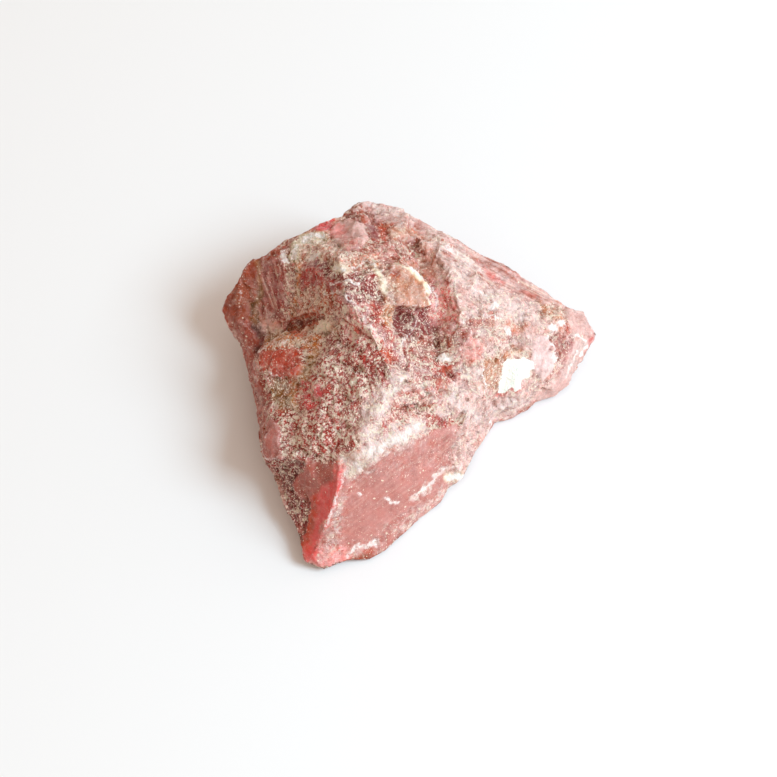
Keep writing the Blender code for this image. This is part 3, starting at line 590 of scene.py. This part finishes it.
def wandering_spots(points):
    """Where points lie in the photograph, then the same wandering as patches, lines and crisp patches do."""
    raw = in_photo(points)
    wander = np.zeros((len(points), 2))
    for size, reach in WANDER:
        wander += np.stack([noise_at(points, size, 3.0), noise_at(points, size, 11.0)], 1) * reach
    return raw, raw + wander, raw + wander * LINE_WANDER, raw + wander * CRISP_WANDER


def hidden_ground(points, middle, small):
    """The minerals that the photograph doesn't place, and the share of grains on them."""
    warped = points + np.stack([middle, small, -middle], 1) * 1.5
    seeds = cells_at(warped, HIDDEN_PATCH_SIZE)[0]
    numbers = [int(abs(noise.cell(seed * 31.7)) * 1000) for seed in seeds]
    picks = [HIDDEN_GROUNDS[number % len(HIDDEN_GROUNDS)] for number in numbers]
    tint = np.array([mineral for mineral, _ in picks])
    return tint, np.array([share for _, share in picks]) + 0.2 * middle


def strokes(spots, rows, core):
    """How thickly the lines of a list cover each spot, fully within that share of their width."""
    cover = np.zeros(len(spots))
    for _, amount, width, line in rows:
        near = line_distance(spots, np.array(line, float))
        cover = np.maximum(cover, (1 - step(core, 1.0, near / width)) * amount)
    return cover


def relief(points, grains, layers, still):
    """The height of the chips, terraces, grains and layers, less where the stone broke smoothly."""
    height = sum(rise * chips_at(points, size) for size, rise in CHIP_SIZES)
    height += TERRACE_HEIGHT * terraces(TERRACES * noise_at(points, TERRACE_SIZE, 23.0))
    height += GRAIN_HEIGHT * noise_at(points, GRAIN_SIZE, 2.0) * (0.5 + grains)
    for share, (_, across, _) in zip(layers.T[:2], LAYERED):
        run = points @ np.array(across) / LAYER_STEP + noise_at(points, 3.0)
        height += LAYER_HEIGHT * share * (1 - 2 * np.abs(run % 1 * 2 - 1))
    return height * (1 - 0.85 * still)


def dress(bm):
    """Gives the mesh its finest relief and returns what the material reads at each point."""
    points = np.array([v.co for v in bm.verts])
    normals = np.array([v.normal for v in bm.verts])
    facing = normals @ np.array(VIEW_BACK)
    seen = step(0.0, 0.2, facing)
    raw, spots, line_spots, crisp_spots = wandering_spots(points)
    middle = noise_at(points, 4.0, 7.0)
    small = noise_at(points, 2.0, 13.0)

    tint, grains = hidden_ground(points, middle, small)
    smooth = np.clip(0.8 - 2 * grains, 0, 0.6)
    level = np.zeros(len(points))
    for name, mineral, share, polish, outline in PATCHES:
        depth = inside_distance(crisp_spots if name in CRISP else spots, outline)
        border = CRISP_EDGE if name in CRISP else SOFT_PATCH_EDGE
        inside = step(-border, border, depth) * seen
        tint += (np.array(mineral) - tint) * inside[:, None]
        grains += (share - grains) * inside
        smooth += (polish - smooth) * inside
        if name in RISES:
            level += (RISES[name] - level) * step(-RISE_EDGE, RISE_EDGE, depth) * seen
    for _, mineral, amount, width, line in STREAKS:
        near = line_distance(line_spots, np.array(line, float))
        inside = (1 - step(0.3, 1.0, near / width)) * seen * amount
        tint += (np.array(mineral) - tint) * inside[:, None]
    frost = 0.1 + 0.5 * np.clip(small, 0, 1) * (1 - seen)
    frost = np.maximum(frost, strokes(line_spots, BRUISES, 0.1) * seen)
    haze = strokes(spots, HAZES, 0.0) * seen
    smooth *= 1 - 0.7 * haze
    grains = np.maximum(grains, 0.5 * haze)
    white = inside_distance(raw, WHITE_PATCH) * seen + (seen - 1) * 10
    layers = np.stack([step(-3, 3, inside_distance(spots, outline)) * seen for outline, _, _ in LAYERED], 1)

    height = relief(points, grains, layers, np.maximum(smooth, step(-2, 1, white))) + level
    height *= EDGE_SHARE + (1 - EDGE_SHARE) * step(0.0, 0.35, np.abs(facing))
    height *= np.clip(points[:, 2] / CALM_HEIGHT, 0, 1)
    for vert, normal, rise in zip(bm.verts, normals, height):
        vert.co += Vector(normal) * rise
        vert.co.z = max(vert.co.z, 0)
    bm.normal_update()
    bm.verts.index_update()
    edges = np.array([[v.index for v in edge.verts] for edge in bm.edges])
    moved = np.array([v.co for v in bm.verts])
    hollow, valley = hollows(moved, np.array([v.normal for v in bm.verts]), edges)
    return {
        "tint": tint, "layers": layers, "grains": grains, "frost": frost, "haze": haze,
        "smooth": smooth, "white": white, "hollow": hollow, "valley": valley,
    }


def link(tree, source, target):
    """Joins two sockets."""
    tree.links.new(source, target)


def add(tree, kind, **settings):
    """A node with its settings. What goes into an input is named by its place, such as in0."""
    made = tree.nodes.new(kind)
    for name, value in settings.items():
        if not name[2:].isdigit():
            setattr(made, name, value)
            continue
        socket = made.inputs[int(name[2:])]
        if isinstance(value, bpy.types.NodeSocket):
            link(tree, value, socket)
        else:
            socket.default_value = value
    return made


def grain_noise(tree, place, per_mm, detail=2.0, shift=0.0):
    """Noise from 0 to 1 with that many features a millimetre."""
    moved = add(tree, "ShaderNodeVectorMath", operation="ADD", in0=place, in1=(shift, shift * 0.6, -shift))
    made = add(tree, "ShaderNodeTexNoise")
    made.inputs["Scale"].default_value = per_mm
    made.inputs["Detail"].default_value = detail
    made.inputs["Roughness"].default_value = 0.6
    link(tree, moved.outputs[0], made.inputs["Vector"])
    return made.outputs["Fac"]


def crystals(tree, place, per_mm):
    """Interlocking crystals: a number from 0 to 1 for each one, another, and how far its middle is."""
    made = add(tree, "ShaderNodeTexVoronoi")
    made.inputs["Scale"].default_value = per_mm
    link(tree, place, made.inputs["Vector"])
    parts = add(tree, "ShaderNodeSeparateColor")
    link(tree, made.outputs["Color"], parts.inputs[0])
    return parts.outputs[0], parts.outputs[1], made.outputs["Distance"]


def maths(tree, kind, a, b=0.0, c=0.0):
    """One sum."""
    return add(tree, "ShaderNodeMath", operation=kind, in0=a, in1=b, in2=c).outputs[0]


def times(tree, a, b, plus=0.0):
    """The one by the other, with something added."""
    return maths(tree, "MULTIPLY_ADD", a, b, plus)


def sway(tree, base, value, reach):
    """The base, with more or less of the reach as the value is above or below a half."""
    return times(tree, maths(tree, "SUBTRACT", value, 0.5), reach, base)


def ramp(tree, value, low, high):
    """0 below low, 1 above high."""
    made = add(tree, "ShaderNodeMapRange", interpolation_type="SMOOTHSTEP")
    made.inputs["From Min"].default_value = low
    made.inputs["From Max"].default_value = high
    link(tree, value, made.inputs["Value"])
    return made.outputs["Result"]


def blend(tree, share, under, over):
    """Lays one colour over another."""
    made = add(tree, "ShaderNodeMix", data_type="RGBA")
    link(tree, share, made.inputs["Factor"])
    for name, value in (("A", under), ("B", over)):
        socket = [s for s in made.inputs if s.name == name and s.type == "RGBA"][0]
        if isinstance(value, bpy.types.NodeSocket):
            link(tree, value, socket)
        else:
            socket.default_value = (*value, 1)
    return [s for s in made.outputs if s.type == "RGBA"][0]


def shade(tree, colour, value, saturation=1.0):
    """A colour made lighter or darker, and fuller or paler."""
    made = add(tree, "ShaderNodeHueSaturation")
    link(tree, colour, made.inputs["Color"])
    for name, amount in (("Value", value), ("Saturation", saturation)):
        if isinstance(amount, bpy.types.NodeSocket):
            link(tree, amount, made.inputs[name])
        else:
            made.inputs[name].default_value = amount
    return made.outputs["Color"]


def read(tree, name):
    """What the mesh holds under that name."""
    return add(tree, "ShaderNodeAttribute", attribute_name=name)


def bent(tree, place, per_mm, reach):
    """The place pushed about by noise, so that what is drawn at it has bent borders."""
    push = add(tree, "ShaderNodeTexNoise")
    push.inputs["Scale"].default_value = per_mm
    push.inputs["Detail"].default_value = 3.0
    link(tree, place, push.inputs["Vector"])
    moved = add(tree, "ShaderNodeVectorMath", operation="MULTIPLY_ADD", in1=(reach,) * 3, in2=place)
    link(tree, push.outputs["Color"], moved.inputs[0])
    return moved.outputs[0]


def rims(tree, place, per_mm, width):
    """Thin lines round the crystals, as wide as that in millimetres."""
    made = add(tree, "ShaderNodeTexVoronoi", feature="DISTANCE_TO_EDGE")
    made.inputs["Scale"].default_value = per_mm
    link(tree, place, made.inputs["Vector"])
    reach = width * per_mm
    return maths(tree, "SUBTRACT", 1.0, ramp(tree, made.outputs["Distance"], 0.2 * reach, reach))


def dots(tree, place, per_mm, share):
    """Round grains that cover about that share of the stone, a number for each and another."""
    one, other, away = crystals(tree, place, per_mm)
    reach = times(tree, share, times(tree, one, 0.7, 0.18))
    return ramp(tree, maths(tree, "SUBTRACT", maths(tree, "ADD", reach, 0.08), away), -0.05, 0.05), one, other


def specks(tree, place, per_mm, rarity):
    """Small dots in a few of the crystals."""
    one, other, away = crystals(tree, place, per_mm)
    reach = times(tree, ramp(tree, one, rarity, 1.0), times(tree, other, 0.22, 0.12))
    return ramp(tree, maths(tree, "SUBTRACT", reach, away), -0.03, 0.05)


def layer_noise(tree, place, across, along):
    """Noise drawn out along the layers of a face."""
    parts = []
    for direction, per_mm in ((across, 2.2), (along, 0.14)):
        made = add(tree, "ShaderNodeVectorMath", operation="DOT_PRODUCT", in0=place, in1=direction)
        parts.append(times(tree, made.outputs["Value"], per_mm))
    spot = add(tree, "ShaderNodeCombineXYZ", in0=parts[0], in1=parts[1])
    return grain_noise(tree, spot.outputs[0], 1.0, 3.0, 71.0)


def survey(tree):
    """What the material reads of the mesh, and the noises that its layers share."""
    place = add(tree, "ShaderNodeVectorMath", operation="SCALE")
    place.inputs["Scale"].default_value = 1 / MM
    link(tree, add(tree, "ShaderNodeTexCoord").outputs["Object"], place.inputs[0])
    see = SimpleNamespace(place=place.outputs[0])
    for name in ("grains", "frost", "haze", "smooth", "white", "hollow", "valley"):
        setattr(see, name, read(tree, name).outputs["Fac"])
    see.rough = times(tree, see.smooth, -0.8, 1.0)
    see.bend = bent(tree, see.place, 2.2, 0.6)
    see.swirl = bent(tree, see.place, 0.6, 2.4)
    see.clump = ramp(tree, grain_noise(tree, see.swirl, 0.9, 3.0, 60.0), 0.36, 0.64)
    see.small, see.small_other, see.small_away = crystals(tree, see.bend, 3.4)
    see.mottled = grain_noise(tree, see.place, 1.2, 4.0, 17.0)
    see.fine = grain_noise(tree, see.place, 4.0, 3.0, 4.0)

    hazed = times(tree, see.haze, 0.4, grain_noise(tree, see.swirl, 1.1, 4.0, 77.0))
    see.hazed = times(tree, ramp(tree, hazed, 0.52, 0.86), see.haze)
    see.clear = times(tree, see.rough, times(tree, see.hazed, -0.75, 1.0))

    shown = times(tree, ramp(tree, grain_noise(tree, see.place, 0.6, 2.0, 81.0), 0.44, 0.6), see.rough)
    grainy = times(tree, ramp(tree, see.grains, 0.05, 0.35), 0.8, 0.2)
    see.rims = times(tree, rims(tree, see.swirl, SCALES_PER_MM, SCALE_RIM), times(tree, shown, grainy))
    return see


def ground_colour(tree, see):
    """The minerals, made uneven by crystals, scales and clouds, darker in the valleys as painted shade, and
    striped where they are layered.
    """
    scale, scale_other, _ = crystals(tree, see.swirl, SCALES_PER_MM)
    large = crystals(tree, see.bend, 1.3)[1]
    spread = 0.0
    uneven = ((large, 0.3), (see.small_other, 0.3), (see.mottled, 0.9), (scale, 0.24), (see.clump, 0.16))
    for value, reach in uneven:
        spread = sway(tree, spread, value, reach)
    light = times(tree, spread, see.rough, 1.0)
    light = sway(tree, light, grain_noise(tree, see.place, 0.45, 3.0), 0.45)
    masks = add(tree, "ShaderNodeSeparateColor", in0=read(tree, "layers").outputs["Color"])
    stripes = []
    for (_, across, along), mask, depth in zip(LAYERED, masks.outputs, STRIPES):
        lines = maths(tree, "SUBTRACT", layer_noise(tree, see.place, across, along), 0.5)
        light = times(tree, times(tree, lines, depth), mask, light)
        stripes.append((lines, times(tree, mask, depth)))
    # Painted shade: the rough ground is darker in its valleys
    low = times(tree, times(tree, see.valley, see.rough), -0.16, 1.0)
    light = times(tree, light, low)
    fuller = times(tree, see.clump, -0.35, times(tree, scale_other, 0.2))
    fuller = times(tree, fuller, see.rough, 1.18)
    colour = shade(tree, read(tree, "tint").outputs["Color"], light, fuller)
    for lines, mask in stripes:
        red = times(tree, ramp(tree, lines, -0.04, -0.14), mask)
        colour = blend(tree, times(tree, red, 0.45), colour, shade(tree, colour, 0.85, 1.5))
        pale = times(tree, ramp(tree, lines, 0.04, 0.15), mask)
        colour = blend(tree, times(tree, pale, 0.4), colour, CREAM)
    return colour


def stain(tree, see, colour):
    """Lays dust, deeper reds and white haze over the ground."""
    dust = times(tree, ramp(tree, grain_noise(tree, see.place, 1.0, 5.0, 93.0), 0.42, 0.8), see.rough)
    colour = blend(tree, times(tree, dust, 0.45), colour, DUST)
    blood = times(tree, ramp(tree, grain_noise(tree, see.place, 0.8, 4.0, 27.0), 0.52, 0.64), see.grains)
    colour = blend(tree, blood, colour, shade(tree, colour, 0.88, 1.1))
    flush = times(tree, ramp(tree, grain_noise(tree, see.swirl, 0.4, 3.0, 101.0), 0.48, 0.62), see.rough)
    colour = blend(tree, times(tree, flush, 0.6), colour, shade(tree, colour, 0.93, 1.25))
    return blend(tree, times(tree, see.hazed, 0.9), colour, FROST)


def strew(tree, see, colour):
    """Strews dark crystals, pale grains and specks, and draws the veins and the rims of the scales."""
    dark = times(tree, see.grains, 0.22, maths(tree, "SUBTRACT", see.small, 0.98))
    dark = times(tree, ramp(tree, dark, -0.01, 0.01), see.clear)
    colour = blend(tree, dark, colour, shade(tree, colour, 0.7, 1.25))
    gathered = times(tree, see.grains, times(tree, see.clump, 0.9, 0.5))
    for per_mm, cover, share in GRAINS:
        grain, one, other = dots(tree, see.bend, per_mm, times(tree, gathered, share))
        value = times(tree, one, 0.2, 0.85)
        fleck = shade(tree, blend(tree, other, FLECK, CREAM), value)
        colour = blend(tree, times(tree, grain, cover), colour, fleck)
    colour = blend(tree, times(tree, specks(tree, see.bend, 1.7, 0.62), 0.8), colour, CREAM)

    wave = maths(tree, "SUBTRACT", grain_noise(tree, see.place, 0.8, 3.0, 33.0), 0.5)
    veins = maths(tree, "SUBTRACT", 1.0, ramp(tree, maths(tree, "ABSOLUTE", wave), 0.003, 0.012))
    colour = blend(tree, times(tree, times(tree, veins, see.grains), 0.7), colour, CREAM)
    return blend(tree, times(tree, see.rims, 0.65), colour, CREAM)


def wear_and_painted_light(tree, see, colour):
    """Darkens the hollows and valleys as painted shade, whitens the bruises, whitens the edges partly as wear
    and partly as a painted highlight, and lays on the white patch.
    """
    # Painted shade: the colour is darkened where the surface is hollow or lies in a valley
    painted_hollow_shade = times(tree, ramp(tree, see.hollow, 0.12, 0.6), see.clear)
    painted_hollow_shade = maths(tree, "MAXIMUM", painted_hollow_shade, times(tree, ramp(tree, see.valley, 0.5, 1.4), see.clear))
    colour = blend(tree, times(tree, painted_hollow_shade, 0.85), colour, shade(tree, colour, 0.66, 1.3))

    # The convex edges are whitened: partly chipped wear, partly a painted highlight on the lit rims
    worn_and_lit_edges = maths(tree, "MAXIMUM", times(tree, see.hollow, -1.6), times(tree, see.valley, -0.7))
    bruise_and_edge_highlight = times(tree, see.frost, 0.62, times(tree, ramp(tree, worn_and_lit_edges, 0.15, 0.9), 0.2))
    bruise_and_edge_highlight = maths(tree, "ADD", grain_noise(tree, see.place, 2.2, 5.0, 41.0), bruise_and_edge_highlight)
    colour = blend(tree, times(tree, ramp(tree, bruise_and_edge_highlight, 0.68, 1.1), 0.92), colour, FROST)

    edge = times(tree, grain_noise(tree, see.place, 1.4, 3.0, 55.0), 6.0, -3.0)
    return blend(tree, ramp(tree, maths(tree, "ADD", see.white, edge), -0.3, 0.5), colour, WHITE)


def finest_relief(tree, see):
    """The unevenness too fine for the mesh."""
    bump = add(tree, "ShaderNodeBump")
    bump.inputs["Distance"].default_value = BUMP_DEPTH * MM
    ground = maths(tree, "ADD", see.fine, times(tree, see.small_away, -0.8))
    ground = times(tree, see.mottled, 0.6, times(tree, ground, see.rough))
    link(tree, times(tree, see.rims, 0.5, ground), bump.inputs["Height"])
    return bump.outputs["Normal"]


def stone_material():
    """Rhodonite: patches of mineral under haze, grains, painted shade in the hollows, bruises, edges whitened
    partly by wear and partly as a painted highlight, and the white patch.
    """
    material = bpy.data.materials.new("rhodonite")
    material.use_nodes = True
    tree = material.node_tree
    shader = tree.nodes["Principled BSDF"]
    see = survey(tree)
    colour = ground_colour(tree, see)
    for lay in (stain, strew, wear_and_painted_light):
        colour = lay(tree, see, colour)
    link(tree, colour, shader.inputs["Base Color"])
    gloss = times(tree, see.smooth, -0.3, 0.72)
    link(tree, times(tree, see.fine, 0.15, gloss), shader.inputs["Roughness"])
    link(tree, finest_relief(tree, see), shader.inputs["Normal"])
    shader.inputs["Subsurface Weight"].default_value = 0.15
    shader.inputs["Subsurface Radius"].default_value = (1.0, 0.4, 0.35)
    shader.inputs["Subsurface Scale"].default_value = 0.6 * MM
    shader.inputs["IOR"].default_value = 1.55
    return material


def make_stone():
    """The stone that shows, in place of its plain solid."""
    bm = fine_mesh(STONE)
    ease(bm)
    fields = dress(bm)
    bmesh.ops.scale(bm, verts=bm.verts, vec=(MM,) * 3)
    mesh = bpy.data.meshes.new("rhodonite")
    bm.to_mesh(mesh)
    bm.free()
    for name, values in fields.items():
        if values.ndim == 2:
            colours = np.concatenate([values, np.ones((len(values), 1))], 1)
            mesh.attributes.new(name, "FLOAT_COLOR", "POINT").data.foreach_set("color", colours.ravel())
        else:
            mesh.attributes.new(name, "FLOAT", "POINT").data.foreach_set("value", values)
    stone = bpy.data.objects.new("rhodonite", mesh)
    bpy.context.scene.collection.objects.link(stone)
    mesh.materials.append(stone_material())
    mesh.shade_smooth()
    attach(stone, "root")
    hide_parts("rhodonite_stone")
    return stone


def make_floor():
    """A plain pale table top."""
    mesh = bpy.data.meshes.new("floor")
    side = FLOOR_SIDE
    corners = [(-side, -side, 0), (side, -side, 0), (side, side, 0), (-side, side, 0)]
    mesh.from_pydata(corners, [], [(0, 1, 2, 3)])
    floor = bpy.data.objects.new("floor", mesh)
    bpy.context.scene.collection.objects.link(floor)
    material = bpy.data.materials.new("pale_table")
    material.use_nodes = True
    shader = material.node_tree.nodes["Principled BSDF"]
    shader.inputs["Base Color"].default_value = (*srgb(239, 234, 230), 1)
    shader.inputs["Roughness"].default_value = 0.6
    shader.inputs["Specular IOR Level"].default_value = 0.2
    mesh.materials.append(material)


def light_the_scene():
    """A soft window light from the right, and a warm room around that is brighter on that side."""
    world = bpy.data.worlds.new("room")
    world.use_nodes = True
    tree = world.node_tree
    facing = add(tree, "ShaderNodeVectorMath", operation="DOT_PRODUCT", in1=(1, 0, 0))
    link(tree, add(tree, "ShaderNodeTexCoord").outputs["Generated"], facing.inputs[0])
    right = add(tree, "ShaderNodeMapRange", in0=facing.outputs["Value"], in1=-1.0, in2=1.0)
    colour = blend(tree, right.outputs["Result"], ROOM_LEFT, ROOM_RIGHT)
    link(tree, colour, tree.nodes["Background"].inputs["Color"])
    bpy.context.scene.world = world
    data = bpy.data.lights.new("window", "AREA")
    data.size = WINDOW_SIZE
    data.energy = WINDOW_POWER
    data.color = WINDOW_COLOUR
    window = bpy.data.objects.new("window", data)
    window.location = WINDOW_PLACE
    window.rotation_mode = "QUATERNION"
    window.rotation_quaternion = Vector(WINDOW_PLACE).to_track_quat("Z", "Y")
    bpy.context.scene.collection.objects.link(window)
    bpy.context.scene.view_settings.view_transform = "Standard"
    bpy.context.scene.view_settings.look = "None"


def add_camera():
    """The photograph's view."""
    data = bpy.data.cameras.new("camera")
    data.lens = CAMERA_LENS
    data.sensor_width = CAMERA_SENSOR
    data.clip_start = 0.01
    camera = bpy.data.objects.new("camera", data)
    camera.location = CAMERA_PLACE * MM
    camera.rotation_mode = "QUATERNION"
    camera.rotation_quaternion = VIEW_BACK.to_track_quat("Z", "Y")
    bpy.context.scene.collection.objects.link(camera)
    bpy.context.scene.camera = camera


add_camera()
light_the_scene()
make_floor()
make_stone()
